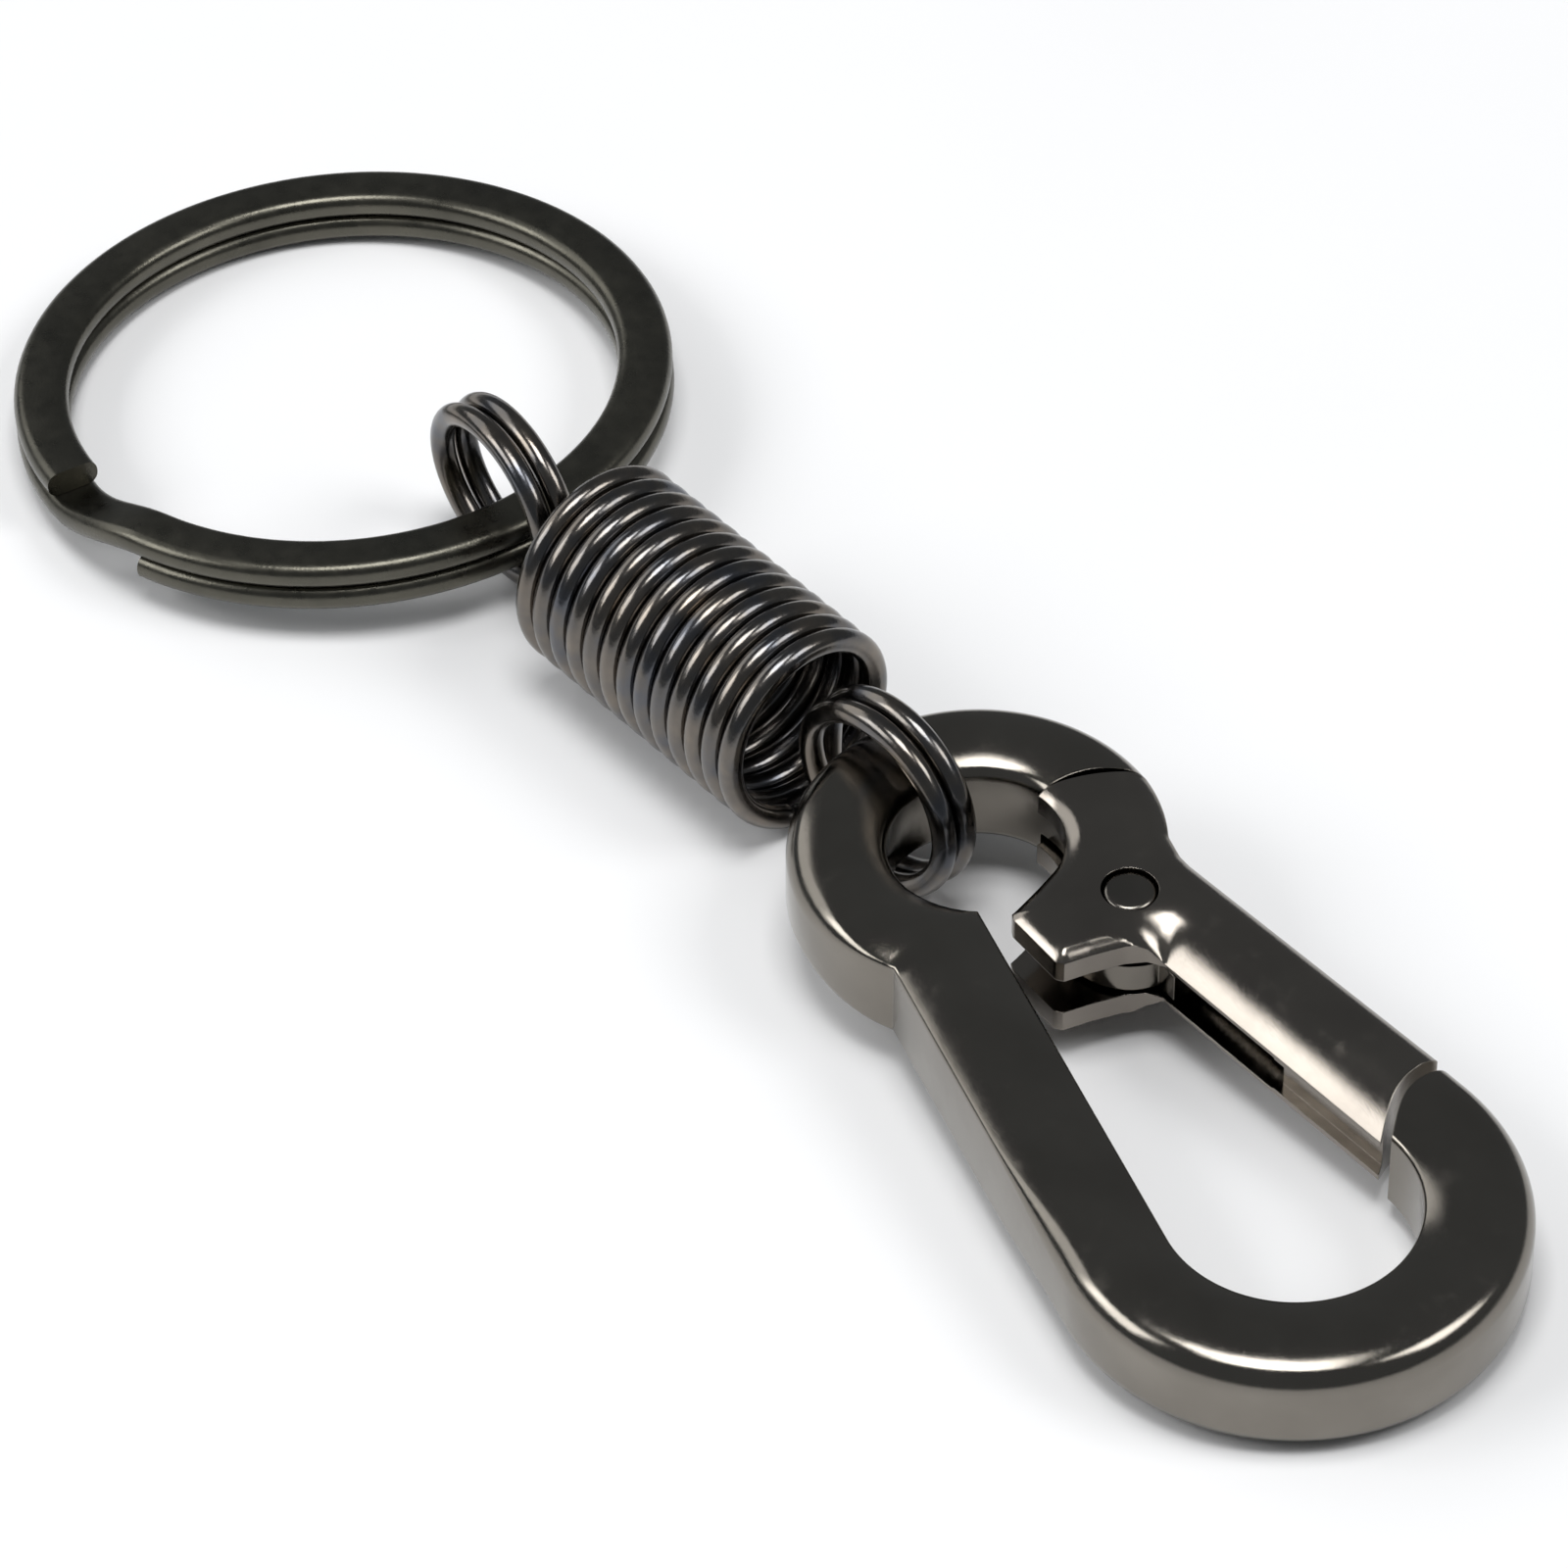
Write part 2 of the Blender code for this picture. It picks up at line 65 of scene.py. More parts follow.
HOOK_YAW = math.radians(0.5)

# Gate, rivet and tongue
RIVET = Vector((7.0, 4.25))
RIVET_RADIUS = 1.35
RIVET_CLEARANCE = 0.1
SHOULDER_RADIUS = 8.1
SHOULDER_CUT = (math.radians(95), math.radians(196))  # the sector cut from the head for the gate's shoulder
SHOULDER_CUT_INNER_RADIUS = 2.0
SWING_GAP = 0.35
NOSE_FACE = (Vector((24.7, 13.0)), Vector((24.8, 8.6)), Vector((29.8, 3.7)))
GATE_OUTER_END = Vector((24.15, 11.0))
GATE_MIDDLE_END = Vector((24.3, 8.45))
GATE_INNER_START = 11.0
GATE_INNER_END = 26.4
GATE_SHOULDER = Vector((6.9, 7.85))
GATE_HEAD_CORNER = Vector((6.1, 7.8))  # where the gate's outer side meets its head
GATE_HEAD_RADIUS = HEAD_RADIUS - 0.4
GATE_STOP = Vector((9.0, 7.7))
GATE_EYE_RADIUS = 4.2
GATE_INNER_CORNER = Vector((10.3, 3.2))  # where the thumb tab meets the gate's inner side
SHOULDER_STEPS = 30
GATE_ROLL = (3.3, 1.5)  # width and depth over which the gate's faces roll off towards its inner side
GATE_RIM_ROLL = (1.0, 0.45)  # the same for its other rims; its free end and its shoulder stay crisp
CHEEK = 1.7
TONGUE_GAP = 0.3
TONGUE_INSET = 0.15  # how far the tongue's edge lies inside the head's
TONGUE_DISC = 3.4
LUG_ANGLE = math.radians(4)
LUG_HALF = 0.62
LUG_REACH = 4.6
WEB = 1.2
BLOCK_START = 18.9
BLOCK_RECESS = 0.6
HAIRPIN_WIRE = 0.53

# Spring
WIRE = 1.33
DRAWN_WIRE = 1.28  # a hair thinner than the CAD's wire, so that the round section stays inside the CAD's box
PITCH = 1.37
SPRING_RADIUS = 5.65
HALF_COIL = math.radians(160 + 6 * 360)
JOIN_GAP = 0.3
FRONT_LOOP = {"centre": 14.5, "along": 5.0, "up": 4.8, "yaw": math.radians(6.0)}
REAR_LOOP = {"centre": 15.75, "along": 5.3, "up": 4.65, "yaw": math.radians(-4.0)}
LOOP_START = math.radians(14)
LOOP_SWEEP = math.radians(670)
LOOP_LIFT = 0.05
LOOP_TURN_GAP = 0.06  # between a loop's two turns
LEAD_STEP = 0.2  # how far a loop's lead starts past the coil's end
LEAD_LEAN = 0.3  # how strongly the lead leans away from the coil
LEAD_PULLS = (0.4, 0.5)  # the lead's curve handles, as shares of its length

# Split ring
RING_RADIUS = 17.5
RING_BAND = 2.9
RING_WIRE = 1.4
RING_PITCH = 1.43
RING_EDGE = 0.62
RING_TILT = math.radians(3.5)
RING_UPPER_END = math.radians(-91)
RING_CLIMB = math.radians(24)

# Camera; lengths in metres, its lens and sensor in millimetres
CAMERA_AIM = Vector((-0.0004, 0.0041, 0.0))
CAMERA_DISTANCE = 0.4999
CAMERA_AZIMUTH = math.radians(-29.25)
CAMERA_ELEVATION = math.radians(42.98)
CAMERA_ROLL = math.radians(-2.165)
CAMERA_LENS = 225
CAMERA_SENSOR = 36
CAMERA_CLIP_START = 0.01

# Studio, in metres
FLOOR_SIZE = 1.5
FLOOR_DROP = 0.00002  # keeps the floor's plane off the keyring's lowest faces
WORLD_COLOUR = (0.9, 0.95, 1.0, 1.0)
WORLD_STRENGTH = 0.16
LIGHT_DISTANCE = 0.9
SOFTBOXES = (
    # name, azimuth and elevation in degrees, width and height, power in watts
    ("left_box", -112, 38, (0.48, 0.4), 2.5),
    ("right_box", 48, 48, (0.36, 0.36), 2.3),
    ("back_box", 210, 34, (0.9, 0.5), 1.9),
    ("top_box", -30, 84, (0.4, 0.4), 4.5),
)


# ---------------------------------------------------------------- mesh helpers


def mesh_from(name, points, faces, sharp=SHARP_ANGLE):
    """A closed smooth-shaded mesh with outward faces, in metres, from points in millimetres."""
    bm = bmesh.new()
    corners = [bm.verts.new(Vector(point) * MM) for point in points]
    for face in faces:
        bm.faces.new([corners[i] for i in face])
    bmesh.ops.recalc_face_normals(bm, faces=bm.faces)
    bmesh.ops.triangulate(bm, faces=[face for face in bm.faces if len(face.verts) > 4])
    made = bpy.data.meshes.new(name)
    bm.to_mesh(made)
    bm.free()
    made.shade_smooth()
    made.set_sharp_from_angle(angle=sharp)
    return made


def add_piece(name, mesh_data, pose, finish):
    """A piece whose mesh is moved into the row frame, so that its object stays at the origin."""
    mesh_data.transform(pose)
    mesh_data.materials.clear()
    mesh_data.materials.append(finish)
    piece = bpy.data.objects.new(name, mesh_data)
    bpy.context.collection.objects.link(piece)
    return piece


def skin(rings):
    """Points and faces of a tube through rings of equal length, closed at both ends."""
    count = len(rings[0])
    points = [point for ring in rings for point in ring]
    faces = [tuple(range(count))[::-1]]
    for k in range(len(rings) - 1):
        for i in range(count):
            j = (i + 1) % count
            faces.append((k * count + i, k * count + j, (k + 1) * count + j, (k + 1) * count + i))
    faces.append(tuple(range((len(rings) - 1) * count, len(rings) * count)))
    return points, faces


def polar(centre, radius, angle):
    return centre + radius * Vector((math.cos(angle), math.sin(angle)))


def arc(centre, radius, start, end, steps):
    return [polar(centre, radius, start + (end - start) * k / steps) for k in range(steps + 1)]


def angle_of(point, centre=Vector((0, 0))):
    return math.atan2(point.y - centre.y, point.x - centre.x)


def direction(azimuth, elevation):
    """The unit vector that points this way, in three dimensions."""
    across = math.cos(elevation)
    return Vector((across * math.cos(azimuth), across * math.sin(azimuth), math.sin(elevation)))


def ease(t):
    """A smooth step from 0 to 1."""
    t = min(1.0, max(0.0, t))
    return t * t * (3 - 2 * t)


def bezier(start, first, second, end, t):
    """The point at t, from 0 to 1, on a cubic curve with these two handles."""
    return start * (1 - t) ** 3 + first * 3 * t * (1 - t) ** 2 + second * 3 * t**2 * (1 - t) + end * t**3


def circle_crossing(centre_a, radius_a, centre_b, radius_b):
    """Where two circles cross, on the right of the line from a to b."""
    apart = centre_b - centre_a
    along = (apart.length_squared + radius_a**2 - radius_b**2) / (2 * apart.length)
    across = math.sqrt(radius_a**2 - along**2)
    forward = apart.normalized()
    return centre_a + forward * along + across * Vector((forward.y, -forward.x))


def prism(name, outline, low, high):
    return mesh_from(name, *skin([[(p.x, p.y, height) for p in outline] for height in (low, high)]))


def combine(target, tool, operation="DIFFERENCE"):
    """The first mesh after a Boolean with the second one; both are used up."""
    base = bpy.data.objects.new("base", target)
    other = bpy.data.objects.new("other", tool)
    for thing in (base, other):
        bpy.context.collection.objects.link(thing)
    step = base.modifiers.new("step", "BOOLEAN")
    step.operation = operation
    step.solver = "EXACT"
    step.object = other
    bpy.context.view_layer.update()
    ready = base.evaluated_get(bpy.context.evaluated_depsgraph_get())
    result = bpy.data.meshes.new_from_object(ready)
    for thing in (base, other):
        bpy.data.objects.remove(thing, do_unlink=True)
    result.shade_smooth()
    result.set_sharp_from_angle(angle=SHARP_ANGLE)
    return result


def wire_mesh(name, path, radius, sides=20):
    """A round wire along a path, with rounded ends, its cross-section carried along without twist."""
    points = [Vector(point) for point in path]
    tangents = []
    for k in range(len(points)):
        ahead = points[min(k + 1, len(points) - 1)]
        behind = points[max(k - 1, 0)]
        tangents.append((ahead - behind).normalized())
    turns = [2 * math.pi * i / sides for i in range(sides)]

    def ring(centre, axes, size):
        return [centre + size * (math.cos(a) * axes[0] + math.sin(a) * axes[1]) for a in turns]

    normal = tangents[0].orthogonal().normalized()
    rings = []
    rim = 0.12
    bevel = 0.3 * rim
    last = len(points) - 1
    for k, (point, tangent) in enumerate(zip(points, tangents)):
        if k:
            normal = (tangents[k - 1].rotation_difference(tangent) @ normal).normalized()
        axes = (normal, tangent.cross(normal))
        if k == 0:
            rings.append(ring(point, axes, radius - rim))
            rings.append(ring(point + bevel * tangent, axes, radius - bevel))
            rings.append(ring(point + rim * tangent, axes, radius))
        elif k == last:
            rings.append(ring(point - rim * tangent, axes, radius))
            rings.append(ring(point - bevel * tangent, axes, radius - bevel))
            rings.append(ring(point, axes, radius - rim))
        else:
            rings.append(ring(point, axes, radius))
    return mesh_from(name, *skin(rings), sharp=WIRE_SHARP_ANGLE)


def distance_to(line, points, closed=True):
    """How far each point is from a line of points, closed into a loop or open; both are arrays of pairs."""
    starts = line if closed else line[:-1]
    spans = (np.roll(line, -1, axis=0) if closed else line[1:]) - starts
    best = np.full(len(points), np.inf)
    for start, span in zip(starts, spans):
        offset = points - start
        along = np.clip((offset @ span) / max(1e-12, span @ span), 0, 1)
        best = np.minimum(best, np.hypot(*(offset - along[:, None] * span).T))
    return best


def roll_off(lines, points):
    """How far the face has dropped at each point: each line comes with the width and depth of its roll."""
    drop = np.zeros(len(points))
    for line, (width, depth) in lines:
        near = np.clip(distance_to(np.array([tuple(p) for p in line]), points, closed=False) / width, 0, 1)
        drop = np.maximum(drop, depth * (1 - near) ** 2)
    return drop


def rolled_plate(name, outline, thickness, lines):
    """A finely meshed plate of this outline, whose top and bottom roll off towards the given lines."""
    spacing = 0.2  # of the points along the outline
    rows = 16  # of points that follow the outline further in
    clearance = 0.985  # a point is left out where the outline comes nearer than this share of its reach
    merge_distance = 0.015
    dense = []
    for k, here in enumerate(outline):
        ahead = outline[(k + 1) % len(outline)]
        parts = max(1, round((ahead - here).length / spacing))
        dense += [here.lerp(ahead, j / parts) for j in range(parts)]
    edge = np.array([(p.x, p.y) for p in dense])
    tangent = np.roll(edge, -1, axis=0) - np.roll(edge, 1, axis=0)
    tangent /= np.hypot(*tangent.T)[:, None]
    inward = np.stack([-tangent[:, 1], tangent[:, 0]], axis=1)
    inside = []
    deepest = max(width for _, (width, _) in lines)
    for row in range(1, rows + 1):
        reach = deepest * (1 - math.cos(math.pi / 2 * row / rows))
        moved = edge + inward * reach
        inside += list(moved[distance_to(edge, moved) > clearance * reach])
    every = [Vector(p) for p in edge] + [Vector(p) for p in inside]
    count = len(edge)
    rim = [(k, (k + 1) % count) for k in range(count)]
    flat, _, triangles, origins = delaunay_2d_cdt(every, rim, [], 1, merge_distance)[:4]
    order = {source: k for k, sources in enumerate(origins) for source in sources}
    ring = [order[k] for k in range(count)]
    spots = np.array([(p.x, p.y) for p in flat])
    drop = roll_off(lines, spots)
    total = len(flat)
    points = [(x, y, thickness - d) for (x, y), d in zip(spots, drop)]
    points += [(x, y, d) for (x, y), d in zip(spots, drop)]
    faces = [tuple(face) for face in triangles]
    faces += [tuple(total + i for i in reversed(face)) for face in triangles]
    for k in range(count):
        here, ahead = ring[k], ring[(k + 1) % count]
        faces.append((here, total + here, total + ahead, ahead))
    return mesh_from(name, points, faces)


# ---------------------------------------------------------------- hook


def side_line(offset, x):
    """Height of a straight side over the hook's axis; the side is at this offset from the bend's centre."""
    return (offset - HEAD_TO_BEND * math.sin(ARM_SPREAD)) / math.cos(ARM_SPREAD) + x * math.tan(ARM_SPREAD)


def bar_section(outer, inner, outer_edge, inner_edge):
    """One cross-section of the hook's bar: straight sides, rounded edges and crowned faces."""
    half = (outer - inner).length / 2
    corner_steps, face_steps = 7, 12
    quarter = [math.pi / 2 * k / corner_steps for k in range(corner_steps + 1)]
    shape = [(1 - outer_edge / half * (1 - math.cos(a)), outer_edge * (1 - math.sin(a))) for a in quarter]
    far = [(inner_edge / half * (1 - math.cos(a)) - 1, inner_edge * (1 - math.sin(a))) for a in quarter]
    start, end = shape[-1][0], far[-1][0]
    shape += [(start + (end - start) * k / face_steps, 0.0) for k in range(1, face_steps)] + far[::-1]
    middle = (outer + inner) / 2
    reach = (outer - inner) / 2
    top = []
    for place, drop in shape:
        here = middle + reach * place
        top.append((here.x, here.y, THICKNESS - CROWN * place * place - drop))
    return top + [(x, y, THICKNESS - z) for x, y, z in reversed(top)]


def bar_stations():
    """Outer point, inner point and both edge radii along the bar, from under the gate's head to the nose."""
    bend = Vector((HEAD_TO_BEND, 0))
    head = Vector((0, 0))
    lean = HEAD_TO_BEND * math.sin(ARM_SPREAD)
    head_start = math.radians(70)
    head_end = math.radians(270) - ARM_SPREAD
    neck_outer = head_end + math.acos((BEND_RADIUS - lean) / HEAD_RADIUS)
    neck_inner = head_end + math.acos((BEND_INNER_RADIUS - lean) / EYE_RADIUS)
    stations = []
    head_steps = 90
    for k in range(head_steps + 1):
        angle = head_start + (head_end - head_start) * k / head_steps
        ends = (polar(head, HEAD_RADIUS, angle), polar(head, EYE_RADIUS, angle))
        stations.append((*ends, ROUND_EDGE, EYE_EDGE))
    neck_steps = 14
    for k in range(1, neck_steps + 1):
        done = k / neck_steps
        outer = polar(head, HEAD_RADIUS, head_end + (neck_outer - head_end) * done)
        inner = polar(head, EYE_RADIUS, head_end + (neck_inner - head_end) * done)
        outer_edge = ROUND_EDGE + (CRISP_EDGE - ROUND_EDGE) * ease(done)
        stations.append((outer, inner, outer_edge, EYE_EDGE + (INNER_EDGE - EYE_EDGE) * ease(done)))
    bend_start = math.radians(-90) - ARM_SPREAD
    arm_start = stations[-1][:2]
    arm_end = (polar(bend, BEND_RADIUS, bend_start), polar(bend, BEND_INNER_RADIUS, bend_start))
    arm_steps = 26
    for k in range(1, arm_steps):
        done = k / arm_steps
        outer, inner = (a.lerp(b, done) for a, b in zip(arm_start, arm_end))
        rounded = ease((done - ROUNDING_START) / (1 - ROUNDING_START))
        stations.append((outer, inner, CRISP_EDGE + (ROUND_EDGE - CRISP_EDGE) * rounded, INNER_EDGE))
    bend_steps = 110
    for k in range(bend_steps + 1):
        angle = bend_start * (1 - 2 * k / bend_steps)
        ends = (polar(bend, BEND_RADIUS, angle), polar(bend, BEND_INNER_RADIUS, angle))
        stations.append((*ends, ROUND_EDGE, INNER_EDGE))
    tip = HEAD_TO_BEND - NOSE_LENGTH
    ends = (Vector((tip, side_line(side, tip))) for side in (BEND_RADIUS, BEND_INNER_RADIUS))
    stations.append((*ends, ROUND_EDGE, INNER_EDGE))
    return stations


def softened(corner_points, reach=1.9, steps=8):
    """Three points joined by a smooth curve that leaves each straight this far from the middle point."""
    before, corner, after = corner_points
    start = corner + (before - corner).normalized() * reach
    end = corner + (after - corner).normalized() * reach
    curve = []
    for k in range(steps + 1):
        t = k / steps
        curve.append(start.lerp(corner, t).lerp(corner.lerp(end, t), t))
    return [before, *curve, after]


def tongue_outline():
    """The thin part of the frame between the gate's cheeks: band, disc round the rivet, stop and lug."""
    head = Vector((0, 0))
    inner_start, band_end, outer_end = (math.radians(angle) for angle in (45, 118, 58))
    disc_end = math.radians(-125)
    outline = arc(head, EYE_RADIUS, inner_start, band_end, 20)
    outline += arc(head, HEAD_RADIUS - TONGUE_INSET, band_end, outer_end, 20)
    outline.append(GATE_STOP)
    forward = Vector((math.cos(LUG_ANGLE), math.sin(LUG_ANGLE)))
    aside = Vector((-forward.y, forward.x))
    half_angle = math.asin(LUG_HALF / TONGUE_DISC)
    outline += arc(RIVET, TONGUE_DISC, angle_of(GATE_STOP, RIVET), LUG_ANGLE + half_angle, 12)
    outline += [RIVET + forward * LUG_REACH + aside * side * LUG_HALF for side in (1, -1)]
    outline += arc(RIVET, TONGUE_DISC, LUG_ANGLE - half_angle, disc_end, 20)
    return outline[::-1]


def rivet_hole(low, high):
    sides = 64
    outline = arc(RIVET, RIVET_RADIUS + RIVET_CLEARANCE, 0, 2 * math.pi, sides)[:-1]
    return prism("hole", outline, low, high)


def hook_mesh():
    sections = [bar_section(*station) for station in bar_stations()]
    bar = mesh_from("hook_body", *skin(sections))
    start, end = SHOULDER_CUT
    shoulder = arc(RIVET, SHOULDER_RADIUS + SWING_GAP, start, end, 48)
    shoulder += arc(RIVET, SHOULDER_CUT_INNER_RADIUS, end, start, 12)
    bar = combine(bar, prism("shoulder", shoulder, -OVERCUT, THICKNESS + OVERCUT))
    outer, inner = (Vector((NOSE_CUT_START, NOSE_FACE[k].y)) for k in (0, -1))
    nose = [inner, *softened(NOSE_FACE[::-1]), outer]
    bar = combine(bar, prism("nose", nose, -OVERCUT, THICKNESS + OVERCUT))
    low = CHEEK + TONGUE_GAP
    bar = combine(bar, prism("tongue", tongue_outline(), low, THICKNESS - low), "UNION")
    hole_low = 0.5  # below the tongue
    return combine(bar, rivet_hole(hole_low, THICKNESS - hole_low))


def outer_side(x):
    """The gate's outer side in plan."""
    slope = (GATE_OUTER_END.y - GATE_SHOULDER.y) / (GATE_OUTER_END.x - GATE_SHOULDER.x)
    return GATE_SHOULDER.y + (x - GATE_SHOULDER.x) * slope


def gate_outline():
    """Plan of the gate, anticlockwise: head, eye edge, thumb tab, inner side, free end, outer side."""
    head = Vector((0, 0))
    outer_corner = circle_crossing(RIVET, SHOULDER_RADIUS, head, GATE_HEAD_RADIUS)
    eye_corner = circle_crossing(RIVET, SHOULDER_RADIUS, head, GATE_EYE_RADIUS)
    inner_end = Vector((GATE_INNER_END, side_line(BEND_INNER_RADIUS, GATE_INNER_END)))
    inner_start = Vector((GATE_INNER_START, side_line(BEND_INNER_RADIUS, GATE_INNER_START)))
    shoulder = angle_of(outer_corner, RIVET), angle_of(eye_corner, RIVET) % (2 * math.pi)
    eye_end = math.radians(28)
    head_start = math.radians(60)
    outline = arc(RIVET, SHOULDER_RADIUS, shoulder[0], shoulder[1], SHOULDER_STEPS)
    outline += arc(head, GATE_EYE_RADIUS, angle_of(eye_corner), eye_end, 24)[1:]
    tab_curve = [Vector((4.35, 0.55)), Vector((5.0, -1.05))]
    tab_tip = [Vector((5.12, -1.42)), Vector((5.45, -1.55))]
    tab_back = [Vector((8.95, -1.3)), Vector((9.3, -1.0)), Vector((9.5, 0.5)), Vector((9.85, 2.2))]
    outline += tab_curve + tab_tip + tab_back + [GATE_INNER_CORNER, inner_start]
    outline += softened((inner_end, GATE_MIDDLE_END, GATE_OUTER_END)) + [GATE_SHOULDER, GATE_HEAD_CORNER]
    outline += arc(head, GATE_HEAD_RADIUS, head_start, angle_of(outer_corner), 16)[:-1]
    return outline


def gate_rolls(outline):
    """Which stretches of the gate's outline roll off, and how much."""
    inner = outline.index(GATE_INNER_CORNER)
    start, end = outline[inner + 1 : inner + 3]
    beyond = end + (end - start).normalized() * GATE_ROLL[0]
    rim = outline[SHOULDER_STEPS : inner + 1]
    outer = outline[outline.index(GATE_OUTER_END) :] + outline[:1]
    return [([start, beyond], GATE_ROLL), (rim, GATE_RIM_ROLL), (outer, GATE_RIM_ROLL)]


def channel_outline():
    """What is cut out between the gate's cheeks; it leaves the outer web and the end block."""
    stop_angle = angle_of(GATE_STOP, RIVET) - math.radians(5)
    stop_reach = 7.0
    web_start = 10.4
    outside, above = -4, 14  # past the gate's head on its left, lower and upper sides
    return [
        Vector((outside, outside)),
        Vector((BLOCK_START - 1, outside)),
        Vector((BLOCK_START, side_line(BEND_INNER_RADIUS, BLOCK_START))),
        Vector((BLOCK_START, outer_side(BLOCK_START) - WEB)),
        Vector((web_start, outer_side(web_start) - WEB)),
        polar(RIVET, TONGUE_DISC + SWING_GAP, stop_angle),
        polar(RIVET, stop_reach, stop_angle),
        Vector((outside, above)),
    ]


def gate_mesh():
    outline = gate_outline()
    gate = rolled_plate("gate_body", outline, THICKNESS, gate_rolls(outline))
    gate = combine(gate, prism("channel", channel_outline(), CHEEK, THICKNESS - CHEEK))
    gate = combine(gate, rivet_hole(-OVERCUT, THICKNESS + OVERCUT))
    start, end, below = BLOCK_START - 3, 30, 2  # past the end block at both ends and on its inner side
    recess = [Vector((start, below)), Vector((end, below))]
    recess += [Vector((x, side_line(BEND_INNER_RADIUS, x) + BLOCK_RECESS)) for x in (end, start)]
    inset = 0.1
    return combine(gate, prism("recess", recess, CHEEK + inset, THICKNESS - CHEEK - inset))


def rivet_mesh():
    """The rivet's pin, with a low dome at each end just under the gate's faces."""
    sunk, rim, dome = 0.08, 0.14, 0.05
    centre = 0.15  # the innermost ring's share of the radius
    dome_steps = 4
    levels = []
    for k in range(dome_steps):
        t = k / dome_steps
        levels.append((sunk + dome * t * t, RIVET_RADIUS * (centre + (1 - centre) * t)))
    levels += [(sunk + dome, RIVET_RADIUS - rim), (sunk + dome + rim, RIVET_RADIUS)]
    levels += [(THICKNESS - height, radius) for height, radius in levels[::-1]]
    sides = 64
    turns = [2 * math.pi * i / sides for i in range(sides)]
    rings = [[(*polar(RIVET, radius, turn), height) for turn in turns] for height, radius in levels]
    return mesh_from("rivet_pin", *skin(rings), sharp=math.radians(60))


def hairpin_mesh():
    """The gate's return spring: one leg on the tongue's lug, one along the gate's outer web."""
    clear = HAIRPIN_WIRE / 2 + TONGUE_GAP
    web_start, lug_start = 11.0, 10.6
    far = BLOCK_START - 1.2  # where the web's leg ends and the turn begins
    lug_gap = 0.3
    web_leg = [Vector((x, outer_side(x) - WEB - clear)) for x in (web_start, far)]
    lug_leg = [
        Vector((far - 0.2, web_leg[1].y - 1.5)),
        Vector((lug_start, RIVET.y + LUG_HALF + lug_gap + clear)),
    ]
    turn = Vector((far + 1.1 - clear, web_leg[1].y - 0.7))
    bulge = turn * 2 - (web_leg[1] + lug_leg[0]) / 2
    leg_steps, turn_steps = 6, 16
    path = [web_leg[0].lerp(web_leg[1], k / leg_steps) for k in range(leg_steps)]
    for k in range(turn_steps + 1):
        t = k / turn_steps
        path.append(web_leg[1] * (1 - t) ** 2 + bulge * 2 * t * (1 - t) + lug_leg[0] * t**2)
    path += [lug_leg[0].lerp(lug_leg[1], k / leg_steps) for k in range(1, leg_steps + 1)]
    return wire_mesh("gate_return_spring", [(p.x, p.y, THICKNESS / 2) for p in path], HAIRPIN_WIRE / 2)


# ---------------------------------------------------------------- spring and ring


def coil_point(winding):
    """A point on the coil's centre line; winding is an angle, 0 at the middle of the coil, over its axis."""
    radius = SPRING_RADIUS - WIRE / 2
    ahead = PITCH * winding / (2 * math.pi)
    return Vector((ahead, -radius * math.sin(winding), radius * math.cos(winding)))


def coil_mesh():
    steps_per_turn = 60
    steps = round(steps_per_turn * HALF_COIL / math.pi)
    path = [coil_point(HALF_COIL * (2 * k / steps - 1)) for k in range(steps + 1)]
    return wire_mesh("spring_coil_wire", path, DRAWN_WIRE / 2)


def loop_mesh(name, loop):
    """One end of the spring: a lead from the coil and a loop of nearly two turns."""
    along = Vector((math.cos(loop["yaw"]), math.sin(loop["yaw"]), 0))
    across = Vector((-along.y, along.x, 0))
    up = Vector((0, 0, 1))
    centre = Vector((loop["centre"], 0, loop["up"] + WIRE / 2 - SPRING_RADIUS + LOOP_LIFT))
    turn_pitch = WIRE + LOOP_TURN_GAP

    def on_loop(angle):
        side = turn_pitch * (1 - angle / (2 * math.pi))
        level = centre - loop["along"] * math.cos(angle) * along
        return level + loop["up"] * math.sin(angle) * up + side * across

    winding = HALF_COIL + JOIN_GAP / SPRING_RADIUS
    little = 0.01  # the angle over which a direction is measured
    leaving = (coil_point(winding + little) - coil_point(winding)).normalized() + Vector((LEAD_LEAN, 0, 0))
    start = coil_point(winding) + Vector((LEAD_STEP, 0, 0))
    end = on_loop(LOOP_START)
    arriving = (on_loop(LOOP_START + little) - end).normalized()
    reach = (end - start).length
    first = start + leaving * reach * LEAD_PULLS[0]
    second = end - arriving * reach * LEAD_PULLS[1]
    lead_steps, loop_steps = 30, 130
    path = [bezier(start, first, second, end, k / lead_steps) for k in range(lead_steps)]
    path += [on_loop(LOOP_START + LOOP_SWEEP * k / loop_steps) for k in range(loop_steps + 1)]
    return wire_mesh(name, path, DRAWN_WIRE / 2)


